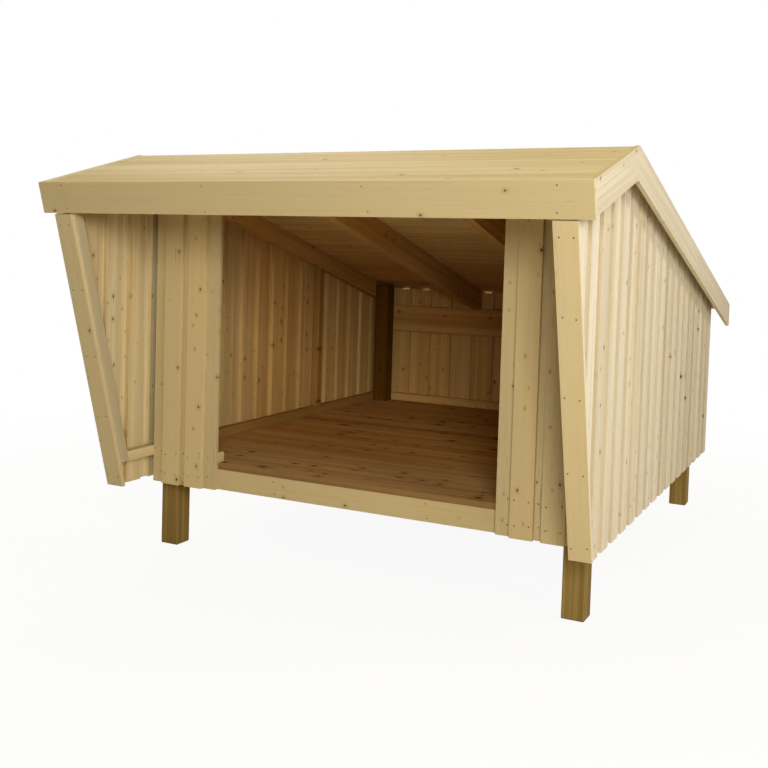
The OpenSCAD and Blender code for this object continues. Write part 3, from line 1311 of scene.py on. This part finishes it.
class SHELTER_OT_stage(bpy.types.Operator):
    """Set up the camera, the light and the pale floor"""

    bl_idname = "shelter.stage"
    bl_label = "Stage"

    def execute(self, context):
        stage = context.scene.shelter_stage
        self.camera(context, stage)
        for name, (place, width) in LAMPS.items():
            self.light(context, name, place, width, getattr(stage, name))
        self.sky(context, stage)
        self.ground(context, stage)
        context.scene.view_settings.view_transform = "Standard"
        return {"FINISHED"}

    def camera(self, context, stage):
        """Stands the camera where the photograph was taken from."""
        lens = bpy.data.cameras.new("camera")
        lens.sensor_width = SENSOR_WIDTH
        lens.lens = stage.lens
        lens.shift_x = stage.shift_x
        lens.shift_y = stage.shift_y
        camera = bpy.data.objects.new("camera", lens)
        camera.location = stage.camera_place
        camera.rotation_euler = Euler(stage.camera_turn)
        context.scene.collection.objects.link(camera)
        context.scene.camera = camera

    def light(self, context, name, place, width, power):
        """Hangs a soft square lamp that looks at the shelter's middle."""
        lamp = bpy.data.lights.new(name, "AREA")
        lamp.shape = "SQUARE"
        lamp.size = width
        lamp.energy = power
        holder = bpy.data.objects.new(name, lamp)
        holder.location = place
        aim = (CAD_BOX[0] + CAD_BOX[1]) / 2 - Vector(place)
        holder.rotation_euler = aim.to_track_quat("-Z", "Y").to_euler()
        context.scene.collection.objects.link(holder)

    def sky(self, context, stage):
        """Makes the background white to the eye, and a weak even light on the shelter."""
        world = bpy.data.worlds.new("sky")
        world.use_nodes = True
        context.scene.world = world
        tree = world.node_tree
        strength = tree.nodes.new("ShaderNodeMapRange")
        put(tree, strength.inputs["Value"], sees_white(tree))
        strength.inputs["To Min"].default_value = stage.sky
        strength.inputs["To Max"].default_value = 1.0
        shader = tree.nodes["Background"]
        shader.inputs["Color"].default_value = (1.0, 1.0, 1.0, 1.0)
        put(tree, shader.inputs["Strength"], strength.outputs["Result"])

    def ground(self, context, stage):
        """Lays the pale floor, which the camera sees nearly white but for the shadow."""
        bm = bmesh.new()
        bmesh.ops.create_grid(bm, x_segments=1, y_segments=1, size=stage.floor_size / 2)
        mesh = bpy.data.meshes.new("floor")
        bm.to_mesh(mesh)
        bm.free()
        material = bpy.data.materials.new("pale_floor")
        material.use_nodes = True
        tree = material.node_tree
        shader = tree.nodes["Principled BSDF"]
        shader.inputs["Base Color"].default_value = PALE_FLOOR
        shader.inputs["Roughness"].default_value = 0.9
        glow = tree.nodes.new("ShaderNodeEmission")
        mix = tree.nodes.new("ShaderNodeMixShader")
        reach = tree.nodes.new("ShaderNodeVectorMath")
        reach.operation = "LENGTH"
        put(tree, reach.inputs[0], tree.nodes.new("ShaderNodeTexCoord").outputs["Object"])
        white = fade(tree, reach.outputs["Value"], WHITE_FROM, WHITE_AT, NEAR_WHITE, 1.0)
        put(tree, mix.inputs["Fac"], sums(tree, "MULTIPLY", sees_white(tree), white))
        put(tree, mix.inputs[1], shader.outputs["BSDF"])
        put(tree, mix.inputs[2], glow.outputs["Emission"])
        put(tree, tree.nodes["Material Output"].inputs["Surface"], mix.outputs["Shader"])
        mesh.materials.append(material)
        floor = bpy.data.objects.new("floor", mesh)
        context.scene.collection.objects.link(floor)


class SHELTER_PT_sidebar(bpy.types.Panel):
    """Lists the steps that dress the shelter"""

    bl_idname = "SHELTER_PT_sidebar"
    bl_label = "Timber shelter"
    bl_space_type = "VIEW_3D"
    bl_region_type = "UI"
    bl_category = "Shelter"

    def draw(self, context):
        """Shows a button for each step."""
        for step in STEPS:
            self.layout.operator(step.bl_idname)


SETTINGS = (
    ("shelter_sizes", ShelterSizes),
    ("shelter_colours", ShelterColours),
    ("shelter_stage", ShelterStage),
)
STEPS = (
    SHELTER_OT_posts,
    SHELTER_OT_floor,
    SHELTER_OT_framing,
    SHELTER_OT_rafters,
    SHELTER_OT_walls,
    SHELTER_OT_front,
    SHELTER_OT_roof,
    SHELTER_OT_nails,
    SHELTER_OT_screws,
    SHELTER_OT_stage,
)


def register():
    """Makes the settings, the steps and the sidebar known to Blender."""
    for name, group in SETTINGS:
        bpy.utils.register_class(group)
        setattr(bpy.types.Scene, name, PointerProperty(type=group))
    for step in STEPS:
        bpy.utils.register_class(step)
    bpy.utils.register_class(SHELTER_PT_sidebar)


def unregister():
    """Takes them out again."""
    bpy.utils.unregister_class(SHELTER_PT_sidebar)
    for step in reversed(STEPS):
        bpy.utils.unregister_class(step)
    for name, group in reversed(SETTINGS):
        delattr(bpy.types.Scene, name)
        bpy.utils.unregister_class(group)


def main():
    """Dresses the frame."""
    register()
    bpy.ops.shelter.posts()
    bpy.ops.shelter.floor()
    bpy.ops.shelter.framing()
    bpy.ops.shelter.rafters()
    bpy.ops.shelter.walls()
    bpy.ops.shelter.front()
    bpy.ops.shelter.roof()
    bpy.ops.shelter.nails()
    bpy.ops.shelter.screws()
    bpy.ops.shelter.stage()


if __name__ == "__main__":
    main()
